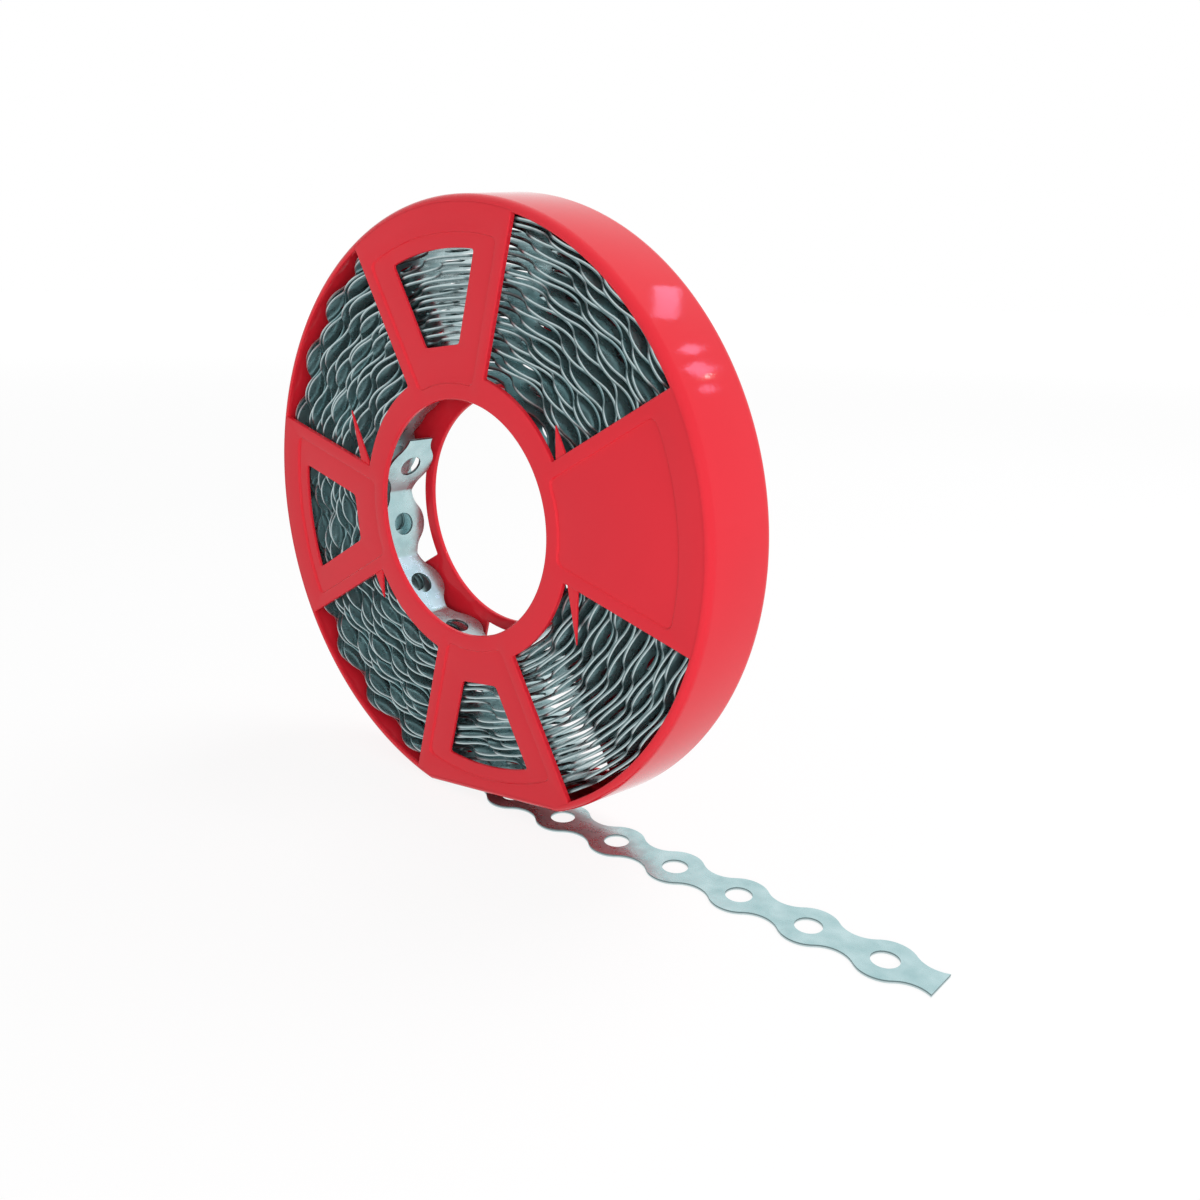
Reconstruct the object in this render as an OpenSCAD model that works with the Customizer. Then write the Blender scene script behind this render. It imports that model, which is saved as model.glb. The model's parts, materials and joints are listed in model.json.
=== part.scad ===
// Perforated steel strap, coiled in a round dispenser case with its outer end drawn out.
// Millimetres. The origin is the centre of the hub bore, the bore runs along Y, the case's
// open front looks towards -Y, and the free end of the strap leaves towards +X.

/* [Strap] */
// Width of the strap over its bulges, at each hole
strap_w = 17; // [12:0.5:25]
// Width of the strap at its necks, between the holes
neck_w = 8.8; // [8:0.2:11]
// Thickness of the strap
strap_t = 0.8; // [0.5:0.1:1.2]
// Distance from one hole to the next
hole_pitch = 21.4; // [18:0.2:30]
// Diameter of a hole
hole_d = 7.4; // [4:0.1:8]

/* [Free end] */
// Distance from the hub's centre to the first hole that is clear of the slot
first_hole_x = 33.5; // [20:0.5:45]
// Number of holes in the free end, from that one on
tail_holes = 6; // [2:1:10]
// Distance from the last hole to the cut end
end_length = 14.4; // [8:0.2:20]

/* [Coil] */
// Number of turns that show on the ends of the coil
turns = 25; // [8:1:32]
// Depth of the grooves between the turns
groove_depth = 3; // [1:0.5:5]
// Play between the coil and the inside of the rim
coil_gap = 0.5; // [0.3:0.1:1.5]

/* [Case] */
// Outer radius of the case at its front edge
case_r = 90.3; // [80:0.1:120]
// How much larger the radius is at the back edge
rim_flare = 1.9; // [0:0.1:4]
// Wall of the rim
rim_t = 2; // [1.5:0.1:3]
// Radius of the rim's outer edge at the front, where it runs into the front wall
front_round = 2.4; // [0.8:0.1:2.8]
// How much the rim's outer edge is bevelled at the back, twice as far along the rim as across it
back_bevel = 0.6; // [0.3:0.1:0.8]
// How far the rim stands out past the back wall
lip = 2.2; // [1:0.1:4]
// Thickness of the front and back walls
wall_t = 1.5; // [1.3:0.1:3]
// Play between the strap's edges and the front wall
front_gap = 0.2; // [0.1:0.1:1]
// Play between the strap's edges and the back wall
back_gap = 1.4; // [0.2:0.1:2]
// How deep the flat foot is cut into the round of the rim
foot_depth = 4.5; // [3:0.5:7]
// How far the case leans over towards the slot, in degrees
tilt = 8; // [3:0.5:9]
// Spare length of the slot past the strap
slot_room = 3; // [1:0.5:6]

/* [Hub and spokes] */
// Diameter of the bore through both hub rings
hub_bore_d = 70; // [50:1:80]
// Width of a hub ring, from the bore to the windows
hub_ring = 8; // [6:0.5:12]
// How far the inside of the coil lies behind the hub ring
hub_cover = 3; // [2:0.5:6]
// Angle that one spoke takes up, in degrees
spoke_angle = 45; // [36:1:50]
// Width of the raised border along a spoke
border = 4; // [2:0.2:6]
// Depth of the panel inside that border
panel_depth = 0.6; // [0.4:0.1:0.8]
// Width of the hub ring's raised border
hub_border = 4.6; // [3:0.2:6]
// Width of the raised border at the outer end of a spoke
outer_border = 9.8; // [7:0.2:12]
// Width of the ledge that the front wall leaves along the rim between the spokes
window_ledge = 0.5; // [0.3:0.1:3]
// Distance from a spoke's edge to the window in it
spoke_window_side = 12.4; // [9:0.1:13.5]
// Distance from the hub ring to the window in a spoke
spoke_window_inner = 7; // [4:0.2:12]
// Distance from the rim's front edge to the window in a spoke
spoke_window_outer = 14; // [13:0.2:20]

/* [Fingers] */
// Width of a finger
finger_w = 5; // [3:0.2:6]
// Thickness of a finger
finger_t = 1; // [0.8:0.1:1.2]
// Distance from the hub's centre to the middle of a finger
finger_x = 42.6; // [40:0.2:45]
// Length of a finger from the middle of its spoke to its short point
finger_back = 26; // [22:0.5:30]
// Length of a finger from the middle of its spoke to its long point
finger_front = 34; // [28:0.5:38]
// Length of the finger's short point
short_point = 8; // [4:0.5:10]
// Length of the finger's long point
long_point = 16; // [8:0.5:18]

/* [Lid] */
// Wall of the rim around the lid
rebate_t = 1.1; // [0.9:0.1:1.4]
// Play around the lid
lid_gap = 0.1; // [0.05:0.05:0.3]
// Width of the lid's outer ring
lid_ring = 7; // [5:0.5:12]
// Width of the lid's hub ring
lid_hub_ring = 4; // [3:0.5:8]

/* [Hidden] */
$fn = 96;

// Longer than any piece, for cutting bodies
far = 3 * (case_r + rim_flare);
// A cutting body runs this far past the face that it cuts
cut = 1;

// Levels along the bore: the inside, the walls and the rim's back edge
inner_y = (strap_w + front_gap + back_gap) / 2;
wall_y = inner_y + wall_t;
edge_y = wall_y + lip;
// The middle of the strap's width, which lies nearer to the front wall
strap_y = (front_gap - back_gap) / 2;
// How much the rim's radius grows along the bore
flare_slope = rim_flare / (edge_y + wall_y);

// The flat foot and the floor under its left end
foot_h = case_r - foot_depth;
foot_angle = acos(foot_h / case_r);
foot_half = case_r * sin(foot_angle);
floor_angle = foot_angle - tilt;
floor_h = case_r * cos(floor_angle);
slot_l = (rim_t + strap_t) / tan((foot_angle + tilt) / 2) + slot_room;

hub_r = hub_bore_d / 2;
window_r = hub_r + hub_ring;
spoke_half = spoke_angle / 2;

// The coil, and the sweep that its outer turn leaves it on
coil_in = hub_r + hub_cover;
coil_inset = rim_t + coil_gap;
coil_out = case_r - coil_inset;
turn_step = (coil_out - coil_in - strap_t) / (turns - 1);
// The sweep starts half a thickness under the coil's surface, so that the two run into one
sweep_start_r = coil_out - strap_t;
strap_level = floor_h - strap_t / 2;
sweep_r = (strap_level - sweep_start_r * cos(floor_angle)) / (1 - cos(floor_angle));
leave_x = -sweep_start_r * sin(floor_angle);
// The free end starts this far back, where it is one with the outer turn
sweep_lead = 8 * strap_t;
sweep_x0 = leave_x - sweep_lead;
sweep_x1 = leave_x + sweep_r * sin(floor_angle);
sweep_angle = asin((sweep_x1 - sweep_x0) / sweep_r);
tail_end_x = first_hole_x + (tail_holes - 1) * hole_pitch + end_length;
// Holes on the strap behind the first clear one, back to where it leaves the coil
hidden_holes = floor((first_hole_x - sweep_x0) / hole_pitch);

// The wavy edge is a chain of equal arcs, each a quarter of a wave long
wave_rise = (strap_w - neck_w) / 2;
wave_r = (pow(hole_pitch / 2, 2) + pow(wave_rise, 2)) / (4 * wave_rise);
wave_mid = (strap_w + neck_w) / 4;

// Turns the case, whose foot is level here, onto the left end of its foot
module leaning() {
    rotate([0, -tilt, 0]) children();
}

// Extrudes an outline seen from the front between two levels along the bore
module between(y0, y1) {
    translate([0, y1, 0]) rotate([90, 0, 0]) linear_extrude(y1 - y0) children();
}

// Cuts the flat foot, and the short flat at its left end, set in from their surfaces
module with_foot(inset) {
    intersection() {
        children();
        translate([-far / 2, -far / 2, inset - foot_h]) cube(far);
        rotate([0, foot_angle, 0]) translate([-far / 2, -far / 2, inset - case_r]) cube(far);
    }
}

// The solid round of the case, set in from its outer surface
module round_body(inset, y0, y1) {
    with_foot(inset) translate([0, y0, 0]) rotate([-90, 0, 0]) cylinder(
        h = y1 - y0,
        r1 = case_r - inset + flare_slope * (y0 + wall_y),
        r2 = case_r - inset + flare_slope * (y1 + wall_y),
        $fn = 180
    );
}

// The same out to the rim's surface, with its front edge rounded and its back edge bevelled
module rim_body() {
    back_r = case_r + rim_flare;
    half_way = front_round * (1 - cos(45));
    with_foot(0) rotate([-90, 0, 0]) rotate_extrude($fn = 180) polygon([
        [0, -wall_y],
        [case_r - front_round, -wall_y],
        [case_r - half_way, half_way - wall_y],
        [case_r + flare_slope * front_round, front_round - wall_y],
        [back_r - flare_slope * 2 * back_bevel, edge_y - 2 * back_bevel],
        [back_r - back_bevel, edge_y],
        [0, edge_y],
    ]);
}

// A wedge along +X whose sides lie a given distance inside a spoke's edges
module wedge(side) {
    reach = far * tan(spoke_half);
    translate([side / sin(spoke_half), 0]) polygon([[0, 0], [far, reach], [far, -reach]]);
}

// The panel sunk into a spoke that runs along +X
module panel_outline() {
    intersection() {
        wedge(border);
        difference() {
            circle(r = case_r - outer_border);
            circle(r = hub_r + hub_border);
        }
    }
}

// The window in a spoke that runs along +X
module spoke_window_outline() {
    intersection() {
        wedge(spoke_window_side);
        circle(r = case_r - spoke_window_outer);
        translate([window_r + spoke_window_inner, -far / 2]) square(far);
    }
}

// A thin tangential blade behind the right spoke, pointed at both ends
module finger_outline() {
    half = finger_w / 2;
    translate([finger_x, 0]) polygon([
        [-half / 2, finger_back],
        [half, finger_back - short_point],
        [half, long_point - finger_front],
        [-half / 3, -finger_front],
        [-half, long_point - finger_front],
        [-half, finger_back - short_point],
    ]);
}

// The gaps between the spokes, from the hub ring out to a given inset from the rim
module wheel_windows(ring_r, inset, y0, y1, first) {
    difference() {
        round_body(inset, y0, y1);
        between(y0 - cut, y1 + cut) {
            circle(r = ring_r);
            for (turn = [first:90:first + 270]) rotate(turn) wedge(0);
        }
    }
}

// The moulding before its fingers: rim, front wall, the seat for the lid and the slot
module shell_body() {
    difference() {
        rim_body();
        round_body(rim_t, -inner_y, edge_y + cut);
        round_body(rebate_t, inner_y, edge_y + cut);
        wheel_windows(window_r, rim_t + window_ledge, -wall_y - cut, cut - inner_y, 0);
        between(-edge_y, 0) circle(r = hub_r);
        between(-edge_y, panel_depth - wall_y) for (turn = [0:90:270]) rotate(turn) panel_outline();
        between(-edge_y, 0) for (turn = [90:90:270]) rotate(turn) spoke_window_outline();
        translate([-foot_half - cut, -inner_y, -foot_h - cut]) cube([slot_l + cut, 2 * inner_y, rim_t + 2 * cut]);
    }
}

module case_shell() {
    color("crimson") leaning() {
        shell_body();
        between(-inner_y - finger_t, -inner_y) for (turn = [0, 180]) rotate(turn) finger_outline();
    }
}

// The back wall, with its spokes halfway between those of the front
module case_lid() {
    color("firebrick") leaning() difference() {
        round_body(rebate_t + lid_gap, inner_y, wall_y);
        between(0, edge_y) circle(r = hub_r);
        wheel_windows(hub_r + lid_hub_ring, lid_ring, inner_y - cut, wall_y + cut, 45);
    }
}

// The coil as one turned body, its turns standing out on both ends
module coil() {
    intersection() {
        rotate([90, 0, 0]) rotate_extrude($fn = 180) {
            translate([coil_in, groove_depth - strap_w / 2]) square([coil_out - coil_in, strap_w - 2 * groove_depth]);
            for (turn = [0:turns - 1])
                translate([coil_in + turn * turn_step, -strap_w / 2]) square([strap_t, strap_w]);
        }
        leaning() round_body(coil_inset, -inner_y, inner_y);
    }
}

// The strap's outline seen from above between two places along it, with its wavy edges and holes
module strap_outline(x0, x1) {
    difference() {
        intersection() {
            union() {
                translate([x0, -wave_mid]) square([x1 - x0, 2 * wave_mid]);
                for (hole = [-hidden_holes:tail_holes - 1], side = [0, 180])
                    translate([first_hole_x + hole * hole_pitch, 0]) rotate(side) intersection() {
                        translate([0, strap_w / 2 - wave_r]) circle(r = wave_r);
                        translate([-hole_pitch / 2, wave_mid]) square(hole_pitch);
                    }
            }
            translate([x0, -strap_w]) square([x1 - x0, 2 * strap_w]);
        }
        for (hole = [-hidden_holes:tail_holes], side = [-1, 1])
            translate([first_hole_x + (hole - 0.5) * hole_pitch, side * (neck_w / 2 + wave_r)]) circle(r = wave_r);
        for (hole = [-hidden_holes:tail_holes - 1])
            translate([first_hole_x + hole * hole_pitch, 0]) circle(d = hole_d);
    }
}

// The stretch that sweeps off the coil and out through the slot
module strap_sweep() {
    spare = 2;
    intersection() {
        translate([sweep_x1, 0, sweep_r - strap_level]) rotate([90, 0, 0]) rotate(270 - sweep_angle - spare)
            rotate_extrude(angle = sweep_angle + 2 * spare, $fn = 180)
                translate([sweep_r - strap_t / 2, -strap_w]) square([strap_t, 2 * strap_w]);
        translate([0, 0, -floor_h - cut]) linear_extrude(sweep_r) strap_outline(sweep_x0, sweep_x1);
    }
}

module strap() {
    color("lightsteelblue") translate([0, strap_y, 0]) {
        coil();
        strap_sweep();
        translate([0, 0, -floor_h]) linear_extrude(strap_t) strap_outline(sweep_x1, tail_end_x);
    }
}

case_shell();
case_lid();
strap();
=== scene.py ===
"""Looks of the perforated steel strap in its round dispenser case.

The case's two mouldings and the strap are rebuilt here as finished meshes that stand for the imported
solids: the case with its rounded edges, the strap as the one long band that winds through all its turns.
Shapes are worked out in millimetres and become metres when they are made into pieces.
"""

import json
import math

import bmesh
import bpy
import numpy as np
from mathutils import Matrix, Quaternion, Vector
from mathutils.geometry import delaunay_2d_cdt


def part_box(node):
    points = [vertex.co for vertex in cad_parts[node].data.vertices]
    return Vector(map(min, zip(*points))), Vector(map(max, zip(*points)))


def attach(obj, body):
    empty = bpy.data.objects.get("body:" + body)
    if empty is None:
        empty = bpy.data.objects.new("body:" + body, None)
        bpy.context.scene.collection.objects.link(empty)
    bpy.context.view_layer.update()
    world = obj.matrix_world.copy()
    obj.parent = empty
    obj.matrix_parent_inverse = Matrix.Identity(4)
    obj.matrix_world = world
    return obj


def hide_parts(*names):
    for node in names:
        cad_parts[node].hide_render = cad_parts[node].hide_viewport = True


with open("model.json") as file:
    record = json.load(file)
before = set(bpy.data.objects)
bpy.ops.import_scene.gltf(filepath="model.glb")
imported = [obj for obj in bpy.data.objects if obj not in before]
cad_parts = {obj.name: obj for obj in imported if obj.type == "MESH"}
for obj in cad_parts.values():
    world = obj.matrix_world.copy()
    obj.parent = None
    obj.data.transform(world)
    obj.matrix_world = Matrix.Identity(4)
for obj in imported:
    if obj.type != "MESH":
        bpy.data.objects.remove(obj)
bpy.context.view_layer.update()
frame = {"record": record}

MM = 0.001

# Camera that the photograph's own lines gave, in the row frame
CAMERA_AT = (0.2385, -0.2234, 0.0705)
CAMERA_AIM = (0.0291, 0.0196, -0.0246)
CAMERA_ROLL = 1.217
CAMERA_LENS = 33.10
CAMERA_SENSOR = 36
CAMERA_CLIP = 0.01

# Lamps that light the object and aren't mirrored in it: name, place, size and watts
LAMPS = (
    ("key", (0.85, -0.25, 0.45), (0.7, 0.7), 1.4),
    ("top", (0.1, 0.5, 0.85), (0.6, 0.6), 3.8),
    ("front", (0.8, -0.72, 0.16), (0.4, 0.3), 3.5),
)

# Window panes that the rim mirrors: the place that they face, then place, size, watts and colour of each
PANE_AIM = (0.076, -0.004, 0.05)
PANE_COLOUR = (0.85, 0.62, 1.0)
SUN_COLOUR = (1, 0.95, 0.85)
PANES = (
    ((0.165, 0.563, 0.622), (0.16, 0.045), 0.1, PANE_COLOUR),
    ((0.360, 0.558, 0.544), (0.04, 0.034), 0.028, PANE_COLOUR),
    ((0.426, 0.557, 0.497), (0.05, 0.05), 0.05, PANE_COLOUR),
    ((0.483, 0.558, 0.443), (0.026, 0.029), 0.015, PANE_COLOUR),
    ((0.446, 0.567, 0.472), (0.016, 0.008), 0.012, SUN_COLOUR),
)

# Light of the surroundings on the object
SKY_LIGHT = 0.4

# Floor: its size, its drop under the object, the share of its own glow, and for a near and a far place the
# distance from the middle and the glow's strength there
FLOOR_SIZE = 6
FLOOR_DROP = 0.0001
FLOOR_SHARE = 0.82
FLOOR_NEAR = (0.5, 1.06)
FLOOR_FAR = (3.0, 1.2)

# Case
CASE_R = 90.3
RIM_FLARE = 1.9
RIM_T = 2.0
WALL_T = 1.5
LIP = 2.2
FRONT_GAP = 0.2
BACK_GAP = 1.4
FOOT_DEPTH = 4.5
TILT = math.radians(8)
SLOT_ROOM = 3.0
# The slot's sides stay off the walls' inner faces, so that the cut leaves no double faces
SLOT_INSET = 0.04
SLOT_SPILL = 1.0

# Hub, spokes and panels
HUB_RING = 8.0
WINDOW_LEDGE = 0.5
SPOKE_HALF = math.radians(22.5)
BORDER = 4.0
PANEL_DEPTH = 0.6
HUB_BORDER = 4.6
OUTER_BORDER = 9.8
SPOKE_WINDOW_SIDE = 12.4
SPOKE_WINDOW_INNER = 7.0
SPOKE_WINDOW_OUTER = 14.0
SPOKE_WINDOW_CORNER = 1.6

# Fingers, kept clear of the wall's inner face and under the floor of its panels
FINGER_X = 42.6
FINGER_W = 3.8
FINGER_T = 1.0
FINGER_BACK = 26.0
FINGER_FRONT = 34.0
FINGER_LEAN = 4.5
FINGER_CLEAR = 0.1
FINGER_SINK = 0.2
FINGER_FILLET = 0.3
SHORT_POINT = 8.0
LONG_POINT = 16.0

# Lid
REBATE_T = 1.1
LID_GAP = 0.1
LID_RING = 7.0
LID_HUB_RING = 4.0

# Strap and its free end
STRAP_W = 17.0
NECK_W = 8.8
STRAP_T = 0.8
HOLE_PITCH = 21.4
TAIL_HOLES = 6
END_LENGTH = 14.4

# Coil, its loose inner end and the room that it leaves in the case
TURNS = 24
COIL_GAP = 0.5
CORE_R = 40.362
LOOSE_R = 33.2
INNER_END = math.radians(144)
SPRUNG_TURN = 0.19
SPRUNG_POWER = 1.5
CORE_SHIFT = 2.5
CORE_SHIFT_FROM = math.radians(10)
SIDE_GAP = 1.0
SIDE_GAP_AT = math.radians(215)
OUTER_TURN = 1.5
BENT_HOLES = 7
NECK_BEND = 0.9
INNER_LENGTH = 11.0
INNER_TAB = 7.0
INNER_TAB_STEPS = 5

# Unevenness of the coil: size, waves in a turn and phase, and the turns over which it sets in and dies out
UNEVEN = ((0.8, 0.93, 0), (0.45, 2.1, 1))
UNEVEN_IN = 1.5
UNEVEN_OUT = 1.2

# Sideways drift of the strap in the coil: size, length of a wave and phase, and how far from the cut end it
# sets in
DRIFT = ((0.36, 173, 0), (0.24, 61, 2))
DRIFT_MEAN = 0.5
DRIFT_FROM = 250
DRIFT_RAMP = 200

# Divisions of the strap's line, and of the strap at a hole and at a neck, in the coil and near the free end
STEPS_PER_TURN = 720
SWEEP_STEPS = 60
COIL_STEPS = (8, 12)
TAIL_STEPS = (16, 14)
FINE_HOLES = TAIL_HOLES + 2

# Attribute that tells how far across its thickness a place on the strap's edge is; the edges' painted
# highlight and painted shade follow it
ACROSS = "across"

# Fillets of the mouldings; the rim's own are given across it and along it, with their sign, and in steps
EDGE_FILLET = 0.45
BASE_FILLET = 0.35
BORE_FILLET = 0.7
PANEL_SLOPE = 0.55
CORNER_FILLET = 2.0
PANEL_CORNER = 2.6
EDGE_STEPS = 6
RIM_FRONT = (1.9, 2.6, 12)
RIM_BACK = (0.7, -2.0, 8)
RIM_SEAT = (-0.3, -0.3, 3)
RIM_INSIDE = (-0.45, 0.5, 4)
# A plate ends in the flat between the rim's two front fillets, its own edge fades out this far from it, and
# the raised border reaches this deep into the plate under it
RIM_FLAT = 2.0
RIM_FADE = 2.6
BORDER_BURY = 0.3

# Divisions of rounds, the turn from which a corner counts as sharp, and the angle up to which faces are
# shaded as one surface
ARC_STEP = math.radians(1.5)
CORNER_STEPS = 24
CIRCLE_STEPS = 160
TOE_STEPS = 8
FOOT_STEPS = 24
ROUND_STEPS = 288
SHARP_TURN = math.radians(20)
SMOOTH_ANGLE = math.radians(40)

# A plane is only met in directions that face it by more than this, for the case and for the coil
CASE_FACING = 0.1
COIL_FACING = 0.05

# Points this close are one, edges this short are removed, and lengths this small count as nothing
WELD = 1e-4
SHORT_EDGE = 1e-5
TINY = 1e-6


def mount(name):
    """The record's mount of that name."""
    return next(m for m in frame["record"]["mounts"] if m["name"] == name)


# Levels along the bore, and sizes that follow from the ones above
INNER_Y = (STRAP_W + FRONT_GAP + BACK_GAP) / 2
WALL_Y = INNER_Y + WALL_T
EDGE_Y = WALL_Y + LIP
STRAP_Y = (FRONT_GAP - BACK_GAP) / 2
FOOT_H = CASE_R - FOOT_DEPTH
FOOT_ANGLE = math.acos(FOOT_H / CASE_R)
FOOT_HALF = CASE_R * math.sin(FOOT_ANGLE)
SLOT_L = (RIM_T + STRAP_T) / math.tan((FOOT_ANGLE + TILT) / 2) + SLOT_ROOM
HUB_R = mount("hub_bore")["dims"]["r_mm"]
WINDOW_R = HUB_R + HUB_RING
HOLE_R = mount("strap_hole_1")["dims"]["r_mm"]
FIRST_HOLE_X = mount("strap_hole_1")["pos_m"][0] / MM
FLOOR_H = -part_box("strap")[0].z / MM
TURN = 2 * math.pi
DOWN = 0.75 * TURN


def make_piece(name, shape, materials, leaning):
    """Turns a bmesh in millimetres into a piece in metres, leaning with the case where asked."""
    bmesh.ops.remove_doubles(shape, verts=shape.verts, dist=WELD)
    bmesh.ops.dissolve_degenerate(shape, edges=shape.edges, dist=SHORT_EDGE)
    mesh = bpy.data.meshes.new(name)
    shape.to_mesh(mesh)
    shape.free()
    lean = Matrix.Rotation(-TILT if leaning else 0, 4, "Y")
    mesh.transform(lean @ Matrix.Scale(MM, 4))
    mesh.shade_smooth()
    mesh.set_sharp_from_angle(angle=SMOOTH_ANGLE)
    for material in materials:
        mesh.materials.append(material)
    piece = bpy.data.objects.new(name, mesh)
    bpy.context.scene.collection.objects.link(piece)
    return piece


def rounded(corners, radius):
    """A closed outline with arcs for its sharp corners; a corner's third value overrides the radius."""
    points = []
    count = len(corners)
    for i, corner in enumerate(corners):
        here = Vector(corner[:2])
        before = Vector(corners[i - 1][:2]) - here
        after = Vector(corners[(i + 1) % count][:2]) - here
        turn = math.pi - before.angle(after)
        r = corner[2] if len(corner) > 2 else radius
        if turn < SHARP_TURN or r == 0:
            points.append(here)
            continue
        inset = min(r * math.tan(turn / 2), before.length / 2, after.length / 2)
        start = here + before.normalized() * inset
        end = here + after.normalized() * inset
        steps = max(2, round(turn / TURN * CORNER_STEPS))
        for k in range(steps + 1):
            t = k / steps
            points.append((1 - t) ** 2 * start + 2 * t * (1 - t) * here + t ** 2 * end)
    return points


def signed_area(points):
    return sum(a.x * b.y - b.x * a.y for a, b in zip(points, points[1:] + points[:1])) / 2


def inset_outline(points, distance, held):
    """The outline moved to its left, into the plate, but for the points that are held."""
    moved = []
    count = len(points)
    for i, point in enumerate(points):
        normals = []
        for a, b in ((points[i - 1], point), (point, points[(i + 1) % count])):
            along = (b - a).normalized()
            normals.append(Vector((-along.y, along.x)))
        reach = 0 if held(point) else distance
        moved.append(point + reach * (normals[0] + normals[1]) / (1 + normals[0].dot(normals[1])))
    return moved


def round_edge(y_back, y_face, face_fillet, back_fillet=0.0):
    """Profile of a plate's rounded edge: distances into the plate, and levels along the bore."""
    toward = 1 if y_face > y_back else -1
    turns = [math.pi / 2 * k / EDGE_STEPS for k in range(EDGE_STEPS + 1)]
    profile = []
    if not back_fillet:
        profile.append((0, y_back))
    else:
        for t in turns:
            rise = back_fillet * (1 - math.cos(t))
            profile.append((back_fillet * (1 - math.sin(t)), y_back + toward * rise))
    for t in turns:
        drop = face_fillet * (1 - math.sin(t))
        profile.append((face_fillet * (1 - math.cos(t)), y_face - toward * drop))
    return profile


def sloped_edge(y_back, y_floor, y_face):
    """Profile of a plate's edge that runs up from a sunk floor in a soft slope."""
    profile = [(-PANEL_SLOPE / 2, y_back)]
    for k in range(2 * EDGE_STEPS + 1):
        t = k / (2 * EDGE_STEPS)
        profile.append((PANEL_SLOPE * (t - 0.5), y_floor + (y_face - y_floor) * t * t * (3 - 2 * t)))
    return profile


def fill_loops(shape, loops):
    """Fills the plane between an outline and the holes in it with triangles."""
    verts = [vert for loop in loops for vert in loop]
    flat = np.array([(vert.co.x, vert.co.z) for vert in verts])
    lines = []
    for loop in loops:
        first = len(lines)
        lines += [(first + i, first + (i + 1) % len(loop)) for i in range(len(loop))]
    start, end = flat[[a for a, b in lines]], flat[[b for a, b in lines]]
    rise = end[:, 1] - start[:, 1]
    slope = (end[:, 0] - start[:, 0]) / np.where(rise == 0, 1, rise)
    filled = delaunay_2d_cdt([Vector(p) for p in flat], lines, [], 0, TINY)
    for triangle in filled[2]:
        corners = [filled[3][i][0] for i in triangle]
        x, y = flat[corners].mean(axis=0)
        crossed = (start[:, 1] > y) != (end[:, 1] > y)
        crossed &= x < start[:, 0] + slope * (y - start[:, 1])
        if crossed.sum() % 2:
            shape.faces.new([verts[i] for i in corners])


def add_plate(shape, edges, held=lambda point: False):
    """Adds a plate from its outline and its holes, each with its edge's profile from back to face."""
    ends = [[], []]
    for k, (points, profile) in enumerate(edges):
        points = points if (signed_area(points) > 0) == (k == 0) else points[::-1]
        rows = []
        for distance, y in profile:
            rows.append([shape.verts.new((p.x, y, p.y)) for p in inset_outline(points, distance, held)])
        for low, high in zip(rows, rows[1:]):
            for i in range(len(low)):
                j = (i + 1) % len(low)
                shape.faces.new((low[i], low[j], high[j], high[i]))
        ends[0].append(rows[0])
        ends[1].append(rows[-1])
    for loops in ends:
        fill_loops(shape, loops)


def surface_r(inset, y):
    """Radius of the case's flaring round at a level along the bore, set in from its surface."""
    return CASE_R - inset + RIM_FLARE * (y + WALL_Y) / (EDGE_Y + WALL_Y)


def case_reach(angle, inset, y):
    """Distance from the hub's centre to the case's surface, set in by inset, in one direction."""
    reach = surface_r(inset, y)
    for plane_angle, distance in ((DOWN, FOOT_H), (DOWN - FOOT_ANGLE, CASE_R)):
        across = math.cos(angle - plane_angle)
        if across > CASE_FACING:
            reach = min(reach, (distance - inset) / across)
    return reach


def polar(angle, radius):
    return Vector((radius * math.cos(angle), radius * math.sin(angle)))


def spread(start, end, steps):
    return [start + (end - start) * k / steps for k in range(steps)]


def case_ring(inset, y):
    """One line round the case; the ends of the foot lie on the same columns in every ring."""
    radius = surface_r(inset, y)
    foot, toe = FOOT_H - inset, CASE_R - inset
    toe_start = DOWN - FOOT_ANGLE - math.acos(min(1, toe / radius))
    corner_x = (math.cos(FOOT_ANGLE) * foot - toe) / math.sin(FOOT_ANGLE)
    corner = math.atan2(-foot, corner_x) % TURN
    foot_end = DOWN + math.acos(foot / radius)
    angles = spread(toe_start, corner, TOE_STEPS) + spread(corner, foot_end, FOOT_STEPS)
    angles += spread(foot_end, toe_start + TURN, ROUND_STEPS)
    return [polar(angle, case_reach(angle, inset, y)) for angle in angles]


def rim_corner(inset, y, across, along, steps):
    """An oval quarter round in a corner of the rim's profile, from along its side to across it."""
    turns = [math.pi / 2 * k / steps for k in range(steps + 1)]
    return [(inset + across * (1 - math.cos(t)), y + along * (1 - math.sin(t))) for t in turns]


def add_rim(shape):
    """Adds the rim: its round with the rolled front edge and the seat for the lid at the back."""
    ledge = RIM_T + WINDOW_LEDGE
    profile = rim_corner(0, -WALL_Y, *RIM_FRONT)[::-1]
    profile += rim_corner(0, EDGE_Y, *RIM_BACK)
    profile += rim_corner(REBATE_T, EDGE_Y, *RIM_SEAT)[::-1]
    profile += [(REBATE_T, INNER_Y), (RIM_T, INNER_Y), (RIM_T, -INNER_Y), (ledge, -INNER_Y)]
    profile += rim_corner(ledge, -WALL_Y, *RIM_INSIDE)
    rows = [[shape.verts.new((p.x, y, p.y)) for p in case_ring(inset, y)] for inset, y in profile]
    for a, b in zip(rows, rows[1:] + rows[:1]):
        for i in range(len(a)):
            j = (i + 1) % len(a)
            shape.faces.new((a[i], a[j], b[j], b[i]))


def arc(start, end, reach):
    """Points from one direction to another at the distance that reach gives for each."""
    steps = max(2, math.ceil(abs(end - start) / ARC_STEP))
    angles = [start + (end - start) * k / steps for k in range(steps + 1)]
    return [polar(angle, reach(angle)) for angle in angles]


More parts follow.
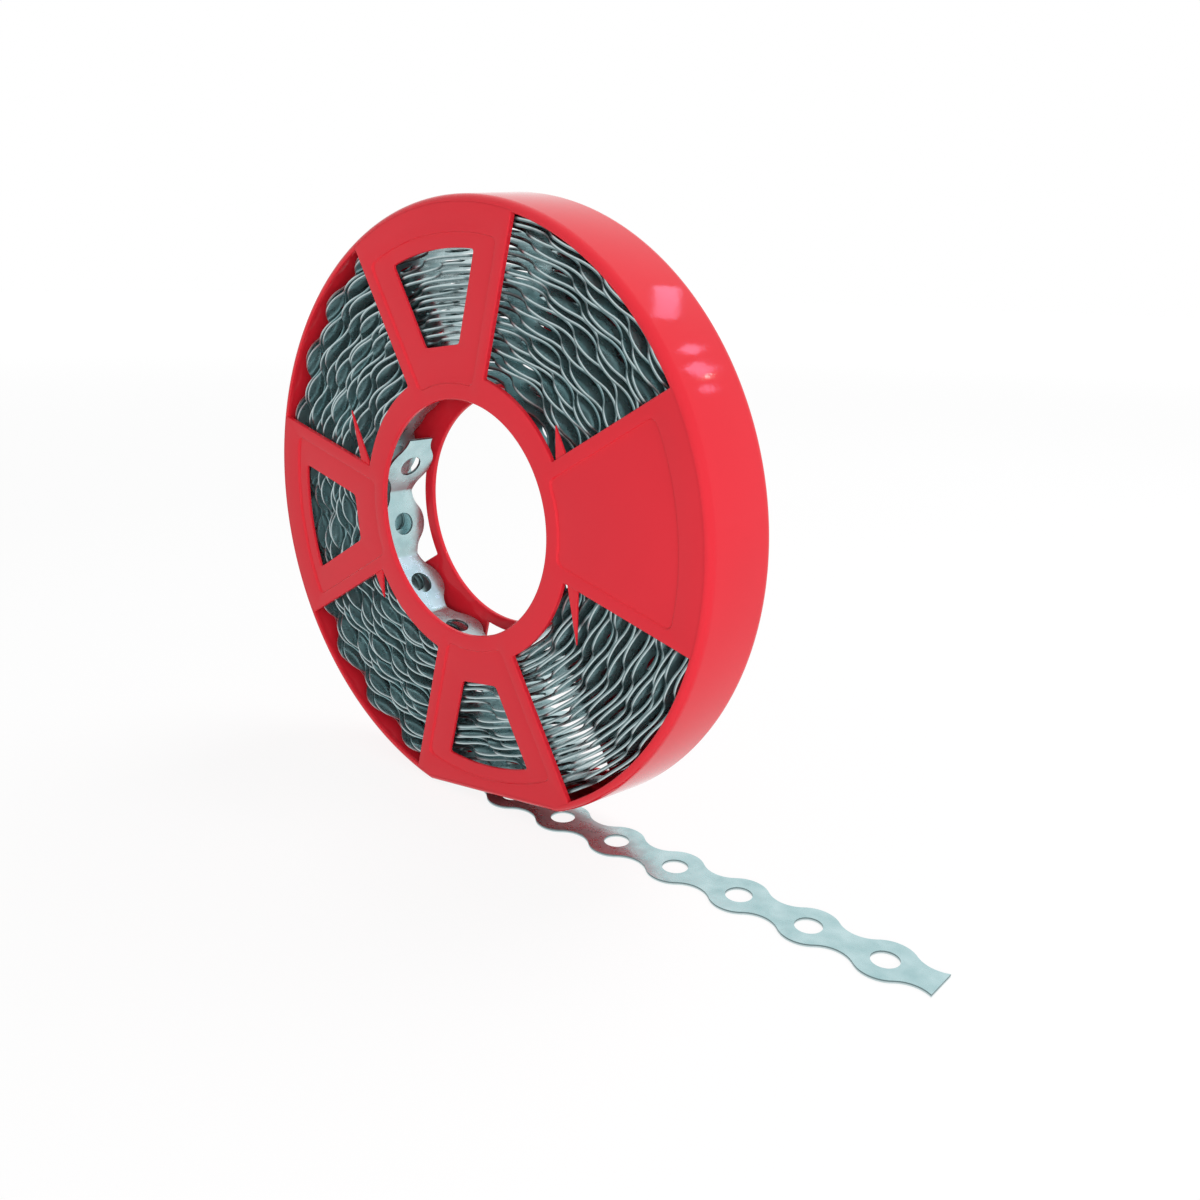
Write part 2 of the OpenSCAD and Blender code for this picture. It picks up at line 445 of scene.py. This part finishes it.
def wheel_outline(inset):
    """Outline of a hub ring with four spokes whose sharp ends lie in the rim, inset from its surface."""
    points = []
    for k in range(4):
        low = k * TURN / 4 - SPOKE_HALF
        high = low + 2 * SPOKE_HALF
        points.append(polar(low, case_reach(low % TURN, RIM_FADE, -WALL_Y)).to_3d())
        points += [p.to_3d() for p in arc(low, high, lambda a: case_reach(a % TURN, inset, -WALL_Y))]
        points.append(polar(high, case_reach(high % TURN, RIM_FADE, -WALL_Y)).to_3d())
        points += arc(high, low + TURN / 4, lambda a: WINDOW_R)
    return rounded(points, CORNER_FILLET)


def in_rim(point):
    """Whether a point of a plate's outline lies in the rim."""
    angle = math.atan2(point.y, point.x) % TURN
    return point.length > case_reach(angle, (RIM_FLAT + RIM_FADE) / 2, -WALL_Y)


def wedge_arc(side, radius):
    """Half the angle between a wedge's sides, side inside a spoke's edges, at a radius."""
    return SPOKE_HALF - math.asin(side / radius)


def panel_outline(middle):
    """Outline of a spoke's sunk panel, whose arcs leave room for the rounds of its corners."""
    points = []
    for radius, turn in ((CASE_R - OUTER_BORDER, 1), (HUB_R + HUB_BORDER, -1)):
        half = turn * wedge_arc(BORDER, radius)
        short = half - turn * 2 * PANEL_CORNER / radius
        points.append(polar(middle - half, radius))
        points += [p.to_3d() for p in arc(middle - short, middle + short, lambda a: radius)]
        points.append(polar(middle + half, radius))
    return rounded(points, PANEL_CORNER)


def spoke_window_outline(middle):
    """Outline of the window in a spoke."""
    near, outer = WINDOW_R + SPOKE_WINDOW_INNER, CASE_R - SPOKE_WINDOW_OUTER
    tip = SPOKE_WINDOW_SIDE / math.sin(SPOKE_HALF)
    half = (near - tip) * math.tan(SPOKE_HALF)
    high = wedge_arc(SPOKE_WINDOW_SIDE, outer)
    points = arc(-high, high, lambda a: outer) + [Vector((near, half)), Vector((near, -half))]
    turned = [Matrix.Rotation(middle, 2) @ p for p in points]
    return rounded(turned, SPOKE_WINDOW_CORNER)


def finger_outline(middle, lean):
    """A finger pair beside the hub; its long point is bent outwards by lean."""
    half = FINGER_W / 2
    corners = [
        (-half / 2, FINGER_BACK),
        (half, FINGER_BACK - SHORT_POINT),
        (half, LONG_POINT - FINGER_FRONT),
        (lean - half / 3, -FINGER_FRONT),
        (-half, LONG_POINT - FINGER_FRONT),
        (-half, FINGER_BACK - SHORT_POINT),
    ]
    return [Matrix.Rotation(middle, 2) @ Vector((FINGER_X + x, z)) for x, z in corners]


def circle(radius):
    return [polar(k * TURN / CIRCLE_STEPS, radius) for k in range(CIRCLE_STEPS)]


def cut_slot(piece):
    """Cuts the slot that the strap leaves by out of the foot's left end."""
    side = INNER_Y - SLOT_INSET
    low = Vector((-FOOT_HALF - SLOT_SPILL, -side, -FOOT_H - SLOT_SPILL))
    high = Vector((SLOT_L - FOOT_HALF, side, RIM_T + SLOT_SPILL - FOOT_H))
    shape = bmesh.new()
    bmesh.ops.create_cube(shape, size=1)
    for vert in shape.verts:
        vert.co = Vector([(a + b) / 2 + (b - a) * c for a, b, c in zip(low, high, vert.co)])
    cutter = make_piece("slot_cutter", shape, [], True)
    modifier = piece.modifiers.new("slot", "BOOLEAN")
    modifier.operation = "DIFFERENCE"
    modifier.solver = "EXACT"
    modifier.object = cutter
    evaluated = piece.evaluated_get(bpy.context.evaluated_depsgraph_get())
    finished = bpy.data.meshes.new_from_object(evaluated)
    piece.modifiers.clear()
    piece.data = finished
    bpy.data.objects.remove(cutter)


def make_case_shell(material):
    """Front wall, rim and fingers as one moulding."""
    rim = bmesh.new()
    add_rim(rim)
    floor_y = -(WALL_Y - PANEL_DEPTH)
    border_y = floor_y + BORDER_BURY
    spokes = [k * TURN / 4 for k in range(4)]
    base = [wheel_outline(RIM_T / 2), circle(HUB_R)]
    base += [spoke_window_outline(middle) for middle in spokes[1:]]
    add_plate(rim, [(points, round_edge(-INNER_Y, floor_y, BASE_FILLET)) for points in base])
    border = [
        (wheel_outline(RIM_FLAT), round_edge(border_y, -WALL_Y, EDGE_FILLET)),
        (circle(HUB_R), round_edge(border_y, -WALL_Y, BORE_FILLET)),
    ]
    for middle in spokes:
        border.append((panel_outline(middle), sloped_edge(border_y, floor_y, -WALL_Y)))
    add_plate(rim, border, in_rim)
    finger_y = FINGER_SINK - INNER_Y - FINGER_T
    finger_edge = round_edge(-INNER_Y - FINGER_CLEAR, finger_y, FINGER_FILLET)
    for middle, lean in ((spokes[0], 0), (spokes[2], FINGER_LEAN)):
        add_plate(rim, [(finger_outline(middle, lean), finger_edge)])
    bmesh.ops.recalc_face_normals(rim, faces=rim.faces)
    piece = make_piece("case_front_and_rim", rim, [material], True)
    cut_slot(piece)
    return piece


def make_case_lid(material):
    """Back wall with its own hub ring and spokes, halfway between those of the front."""
    shape = bmesh.new()
    edge = [polar(k * TURN / ROUND_STEPS, 1) for k in range(ROUND_STEPS)]
    edge = [p * case_reach(math.atan2(p.y, p.x) % TURN, REBATE_T + LID_GAP, WALL_Y) for p in edge]
    holes = [circle(HUB_R)]
    for k in range(4):
        start = TURN / 8 + k * TURN / 4 + SPOKE_HALF
        end = start + TURN / 4 - 2 * SPOKE_HALF
        points = arc(start, end, lambda a: case_reach(a % TURN, LID_RING, WALL_Y))
        points += arc(end, start, lambda a: HUB_R + LID_HUB_RING)
        holes.append(rounded(points, CORNER_FILLET))
    profile = round_edge(INNER_Y, WALL_Y, EDGE_FILLET, EDGE_FILLET)
    add_plate(shape, [(points, profile) for points in [edge] + holes])
    bmesh.ops.recalc_face_normals(shape, faces=shape.faces)
    return make_piece("case_back_lid", shape, [material], True)


def strap_line():
    """Points along the middle of the strap, from its inner end to its cut outer end, as x and z."""
    floor_angle = FOOT_ANGLE - TILT
    outer_r = CASE_R - RIM_T - COIL_GAP - STRAP_T
    level = FLOOR_H - STRAP_T / 2
    leave = DOWN - floor_angle
    turns = TURNS + (leave - INNER_END) / TURN
    q = np.arange(turns, 0, -1 / STEPS_PER_TURN)
    core_q = turns - SPRUNG_TURN
    radius = outer_r - OUTER_TURN * np.minimum(q, 1)
    radius -= (outer_r - OUTER_TURN - CORE_R) * np.clip((q - 1) / (core_q - 1), 0, 1)
    sprung = np.clip((q - core_q) / SPRUNG_TURN, 0, 1)
    radius -= (CORE_R - LOOSE_R) * sprung ** SPRUNG_POWER
    fade = np.clip((q - 1) / UNEVEN_IN, 0, 1) * np.clip((turns - q) / UNEVEN_OUT, 0, 1)
    radius += fade * sum(size * np.sin(rate * TURN * q + phase) for size, rate, phase in UNEVEN)
    angle = leave - TURN * q
    radius -= CORE_SHIFT * (q / turns) ** 2 * np.cos(angle - CORE_SHIFT_FROM)
    radius -= SIDE_GAP * (1 - q / turns) * np.maximum(0, np.cos(angle - SIDE_GAP_AT))
    below = np.maximum(COIL_FACING, -np.sin(angle - TILT))
    room = np.minimum(outer_r, (FOOT_H - RIM_T - STRAP_T) / below)
    radius = LOOSE_R + (radius - LOOSE_R) * (room - LOOSE_R) / (outer_r - LOOSE_R)
    coil = np.stack([radius * np.cos(angle), radius * np.sin(angle)], axis=1)
    sweep_r = (level - outer_r * math.cos(floor_angle)) / (1 - math.cos(floor_angle))
    leave_x = -outer_r * math.sin(floor_angle)
    centre_x = leave_x + sweep_r * math.sin(floor_angle)
    turn = np.linspace(floor_angle, 0, SWEEP_STEPS)
    sweep_z = sweep_r - level - sweep_r * np.cos(turn)
    sweep = np.stack([centre_x - sweep_r * np.sin(turn), sweep_z], axis=1)
    end_x = FIRST_HOLE_X + (TAIL_HOLES - 1) * HOLE_PITCH + END_LENGTH
    tail = np.array([[end_x, -level]])
    return np.concatenate([coil, sweep, tail])


def half_width(offset):
    """Half the strap's width at a distance from the nearest hole's centre: a chain of equal arcs."""
    rise = (STRAP_W - NECK_W) / 2
    wave_r = ((HOLE_PITCH / 2) ** 2 + rise ** 2) / (4 * rise)
    offset = abs(offset)
    if offset <= HOLE_PITCH / 4:
        return STRAP_W / 2 - wave_r + math.sqrt(wave_r ** 2 - offset ** 2)
    offset = abs(HOLE_PITCH / 2 - offset)
    return NECK_W / 2 + wave_r - math.sqrt(wave_r ** 2 - offset ** 2)


def strap_columns(first, last, hole_steps, neck_steps):
    """Places along the strap for a range of holes: the hole, from the cut end, and the distance from it."""
    columns = []
    for hole in range(first, last):
        for k in range(hole_steps):
            columns.append((hole, -HOLE_R * math.cos(math.pi * k / hole_steps)))
        for k in range(neck_steps):
            columns.append((hole, HOLE_R + (HOLE_PITCH - 2 * HOLE_R) * k / neck_steps))
    return columns


def make_strap(face_material, edge_material):
    """The strap as one band, wavy along both edges, with a hole in every bulge."""
    line = strap_line()
    step = np.linalg.norm(np.diff(line, axis=0), axis=1)
    run = np.concatenate([[0], np.cumsum(step)])
    total = run[-1]
    last_hole = total - END_LENGTH
    holes = int((last_hole - INNER_LENGTH) / HOLE_PITCH)
    first = -HOLE_R - INNER_TAB
    columns = [(-holes, first + k * (INNER_TAB / INNER_TAB_STEPS)) for k in range(INNER_TAB_STEPS)]
    spaced = strap_columns(-holes, -FINE_HOLES, *COIL_STEPS) + strap_columns(-FINE_HOLES, 1, *TAIL_STEPS)
    for hole, offset in spaced:
        if last_hole + hole * HOLE_PITCH + offset < total:
            columns.append((hole, offset))
    columns.append((0, END_LENGTH))
    place = np.array([last_hole + hole * HOLE_PITCH + offset for hole, offset in columns])
    x = np.interp(place, run, line[:, 0])
    z = np.interp(place, run, line[:, 1])
    necks = last_hole + HOLE_PITCH * (np.arange(-holes, BENT_HOLES - holes + 1) - 0.5)
    bent = np.clip((necks[-1] - place) / HOLE_PITCH, 0, 1) * NECK_BEND
    x += bent * (np.interp(place, necks, np.interp(necks, run, line[:, 0])) - x)
    z += bent * (np.interp(place, necks, np.interp(necks, run, line[:, 1])) - z)
    tx, tz = np.gradient(x, place), np.gradient(z, place)
    length = np.hypot(tx, tz)
    nx, nz = tz / length, -tx / length
    from_end = total - place
    drift = sum((size * np.sin(from_end / wave + phase) for size, wave, phase in DRIFT), DRIFT_MEAN)
    drift *= np.clip((from_end - DRIFT_FROM) / DRIFT_RAMP, 0, 1)
    shape = bmesh.new()
    across = shape.verts.layers.float.new(ACROSS)
    rows = []
    for i, (hole, offset) in enumerate(columns):
        near = offset if offset <= HOLE_PITCH / 2 else offset - HOLE_PITCH
        wide = half_width(near)
        gap = math.sqrt(max(0, HOLE_R ** 2 - offset ** 2)) if abs(offset) < HOLE_R - TINY else 0
        levels = [wide, gap, -gap, -wide] if gap else [wide, 0, -wide]
        row = []
        for side in (STRAP_T / 2, -STRAP_T / 2):
            at_x, at_z = x[i] + nx[i] * side, z[i] + nz[i] * side
            verts = [shape.verts.new((at_x, STRAP_Y + y + drift[i], at_z)) for y in levels]
            for vert in verts:
                vert[across] = 0.5 + side / STRAP_T
            row.append((verts[0], verts[1], verts[-2], verts[-1]))
        rows.append(row)

    def face(verts, index):
        made = shape.faces.new(verts)
        made.material_index = index

    for (a_out, a_in), (b_out, b_in) in zip(rows, rows[1:]):
        for side_a, side_b in ((a_out, b_out), (a_in, b_in)):
            face((side_a[0], side_a[1], side_b[1], side_b[0]), 0)
            face((side_a[2], side_a[3], side_b[3], side_b[2]), 0)
        for edge in (0, 3):
            face((a_out[edge], a_in[edge], b_in[edge], b_out[edge]), 1)
        if a_out[1] != a_out[2] or b_out[1] != b_out[2]:
            for edge in (1, 2):
                face((a_out[edge], a_in[edge], b_in[edge], b_out[edge]), 1)
    for out, back in (rows[0], rows[-1]):
        face((out[0], out[1], back[1], back[0]), 1)
        face((out[2], out[3], back[3], back[2]), 1)
    bmesh.ops.recalc_face_normals(shape, faces=shape.faces)
    return make_piece("wavy_strap", shape, [face_material, edge_material], False)


def new_material(name):
    """A material with a Principled shader; returns it, its node tree and the shader."""
    material = bpy.data.materials.new(name)
    material.use_nodes = True
    tree = material.node_tree
    shader = tree.nodes["Principled BSDF"]
    return material, tree, shader


def add_noise(tree, scale, detail, low, high):
    """A noise over the piece's own place in space, mapped to a range; returns the value's socket."""
    place = tree.nodes.new("ShaderNodeTexCoord")
    noise = tree.nodes.new("ShaderNodeTexNoise")
    noise.inputs["Scale"].default_value = scale
    noise.inputs["Detail"].default_value = detail
    spread_node = tree.nodes.new("ShaderNodeMapRange")
    spread_node.inputs["From Min"].default_value = 0.3
    spread_node.inputs["From Max"].default_value = 0.7
    spread_node.inputs["To Min"].default_value = low
    spread_node.inputs["To Max"].default_value = high
    tree.links.new(place.outputs["Object"], noise.inputs["Vector"])
    tree.links.new(noise.outputs["Fac"], spread_node.inputs["Value"])
    return spread_node.outputs["Result"]


def mix_colours(tree, factor, first, second):
    mix = tree.nodes.new("ShaderNodeMix")
    mix.data_type = "RGBA"
    mix.inputs["A"].default_value = (*first, 1)
    mix.inputs["B"].default_value = (*second, 1)
    tree.links.new(factor, mix.inputs["Factor"])
    return mix.outputs["Result"]


def add_bump(tree, shader, height, strength, distance):
    bump = tree.nodes.new("ShaderNodeBump")
    bump.inputs["Strength"].default_value = strength
    bump.inputs["Distance"].default_value = distance
    tree.links.new(height, bump.inputs["Height"])
    tree.links.new(bump.outputs["Normal"], shader.inputs["Normal"])


def red_plastic():
    """Glossy moulded plastic with a faint unevenness in its shade and shine."""
    material, tree, shader = new_material("red_plastic")
    shade = add_noise(tree, 18, 3, 0, 1)
    colour = mix_colours(tree, shade, (0.83, 0.022, 0.039), (0.89, 0.026, 0.045))
    tree.links.new(colour, shader.inputs["Base Color"])
    tree.links.new(add_noise(tree, 60, 4, 0.045, 0.08), shader.inputs["Roughness"])
    shader.inputs["IOR"].default_value = 1.45
    shader.inputs["Specular IOR Level"].default_value = 0.25
    add_bump(tree, shader, add_noise(tree, 900, 2, 0, 1), 0.02, 0.0002)
    return material


def zinc_steel():
    """Zinc plated steel with a fine spangle."""
    material, tree, shader = new_material("zinc_steel")
    spangle = add_noise(tree, 160, 4, 0, 1)
    colour = mix_colours(tree, spangle, (0.38, 0.58, 0.60), (0.54, 0.73, 0.75))
    tree.links.new(colour, shader.inputs["Base Color"])
    shader.inputs["Metallic"].default_value = 0.9
    tree.links.new(add_noise(tree, 300, 3, 0.22, 0.36), shader.inputs["Roughness"])
    add_bump(tree, shader, add_noise(tree, 700, 3, 0, 1), 0.08, 0.0002)
    return material


def cut_steel_painted_highlight():
    """The strap's sheared edges: a painted highlight along one half of their thickness, painted shade along
    the other.
    """
    material, tree, shader = new_material("cut_steel_painted_highlight")
    across = tree.nodes.new("ShaderNodeAttribute")
    across.attribute_name = ACROSS
    # Painted highlight on one half of the edge's thickness, painted shade on the other, split by the across
    # attribute
    painted_light_side = tree.nodes.new("ShaderNodeMapRange")
    painted_light_side.interpolation_type = "SMOOTHSTEP"
    painted_light_side.inputs["From Min"].default_value = 0.35
    painted_light_side.inputs["From Max"].default_value = 0.65
    tree.links.new(across.outputs["Fac"], painted_light_side.inputs["Value"])
    # The dark colour is painted shade, the light one painted highlight
    colour = mix_colours(tree, painted_light_side.outputs["Result"], (0.16, 0.23, 0.24), (0.55, 0.66, 0.67))
    tree.links.new(colour, shader.inputs["Base Color"])
    shader.inputs["Metallic"].default_value = 1
    tree.links.new(add_noise(tree, 500, 3, 0.32, 0.5), shader.inputs["Roughness"])
    return material


def seen_directly(tree):
    """One for rays from the camera, a glossy or a clear surface, and zero for rays that light things."""
    path = tree.nodes.new("ShaderNodeLightPath")
    total = None
    for name in ("Is Camera Ray", "Is Glossy Ray", "Is Transmission Ray"):
        if total is None:
            total = path.outputs[name]
            continue
        larger = tree.nodes.new("ShaderNodeMath")
        larger.operation = "MAXIMUM"
        tree.links.new(total, larger.inputs[0])
        tree.links.new(path.outputs[name], larger.inputs[1])
        total = larger.outputs[0]
    return total


def make_world():
    """White where it is seen, and a softer level where it lights the object."""
    world = bpy.data.worlds.new("studio")
    world.use_nodes = True
    tree = world.node_tree
    background = tree.nodes["Background"]
    background.inputs["Color"].default_value = (1, 1, 1, 1)
    level = tree.nodes.new("ShaderNodeMapRange")
    level.inputs["To Min"].default_value = SKY_LIGHT
    level.inputs["To Max"].default_value = 1.0
    tree.links.new(seen_directly(tree), level.inputs["Value"])
    tree.links.new(level.outputs["Result"], background.inputs["Strength"])
    bpy.context.scene.world = world


def make_floor():
    """A wide pale floor under the object, almost white, that keeps its shadow."""
    shape = bmesh.new()
    bmesh.ops.create_grid(shape, x_segments=1, y_segments=1, size=FLOOR_SIZE)
    mesh = bpy.data.meshes.new("floor")
    shape.to_mesh(mesh)
    shape.free()
    floor = bpy.data.objects.new("floor", mesh)
    floor.location.z = -FLOOR_H * MM - FLOOR_DROP
    bpy.context.scene.collection.objects.link(floor)
    material, tree, shader = new_material("floor")
    shader.inputs["Base Color"].default_value = (0.9, 0.9, 0.9, 1)
    shader.inputs["Roughness"].default_value = 0.8
    shader.inputs["Specular IOR Level"].default_value = 0
    glow = tree.nodes.new("ShaderNodeEmission")
    place = tree.nodes.new("ShaderNodeTexCoord")
    distance = tree.nodes.new("ShaderNodeVectorMath")
    distance.operation = "LENGTH"
    brighten = tree.nodes.new("ShaderNodeMapRange")
    brighten.inputs["From Min"].default_value, brighten.inputs["To Min"].default_value = FLOOR_NEAR
    brighten.inputs["From Max"].default_value, brighten.inputs["To Max"].default_value = FLOOR_FAR
    tree.links.new(place.outputs["Object"], distance.inputs[0])
    tree.links.new(distance.outputs["Value"], brighten.inputs["Value"])
    tree.links.new(brighten.outputs["Result"], glow.inputs["Strength"])
    mix = tree.nodes.new("ShaderNodeMixShader")
    share = tree.nodes.new("ShaderNodeMath")
    share.operation = "MULTIPLY"
    share.inputs[1].default_value = FLOOR_SHARE
    tree.links.new(seen_directly(tree), share.inputs[0])
    tree.links.new(share.outputs[0], mix.inputs["Fac"])
    tree.links.new(shader.outputs["BSDF"], mix.inputs[1])
    tree.links.new(glow.outputs["Emission"], mix.inputs[2])
    tree.links.new(mix.outputs["Shader"], tree.nodes["Material Output"].inputs["Surface"])
    mesh.materials.append(material)


def make_lamp(name, place, aim, size, watts, mirrored, colour=(1, 1, 1)):
    """An area lamp that the camera doesn't see; shiny surfaces show it only where it is mirrored."""
    data = bpy.data.lights.new(name, "AREA")
    data.shape = "RECTANGLE"
    data.size, data.size_y = size
    data.energy = watts
    data.color = colour
    lamp = bpy.data.objects.new(name, data)
    lamp.location = place
    lamp.rotation_euler = (Vector(aim) - Vector(place)).to_track_quat("-Z", "Y").to_euler()
    lamp.visible_camera = False
    lamp.visible_glossy = mirrored
    bpy.context.scene.collection.objects.link(lamp)


def make_camera():
    data = bpy.data.cameras.new("camera")
    data.lens = CAMERA_LENS
    data.sensor_width = CAMERA_SENSOR
    data.clip_start = CAMERA_CLIP
    camera = bpy.data.objects.new("camera", data)
    camera.location = CAMERA_AT
    facing = (Vector(CAMERA_AIM) - Vector(CAMERA_AT)).to_track_quat("-Z", "Y")
    camera.rotation_mode = "QUATERNION"
    camera.rotation_quaternion = facing @ Quaternion((0, 0, 1), math.radians(CAMERA_ROLL))
    bpy.context.scene.collection.objects.link(camera)
    bpy.context.scene.camera = camera


make_camera()
make_world()
make_floor()
for name, place, size, watts in LAMPS:
    make_lamp(name, place, (0, 0, 0), size, watts, False)
for k, (place, size, watts, colour) in enumerate(PANES):
    make_lamp(f"window_pane_{k + 1}", place, PANE_AIM, size, watts, True, colour)
bpy.context.scene.view_settings.view_transform = "Standard"

plastic = red_plastic()
zinc = zinc_steel()
cut = cut_steel_painted_highlight()
for made, node, slot in (
    (make_case_shell(plastic), "case_shell", "red_plastic"),
    (make_case_lid(plastic), "case_lid", "red_plastic"),
    (make_strap(zinc, cut), "strap", "zinc_steel"),
):
    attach(made, "root")
    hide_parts(node)
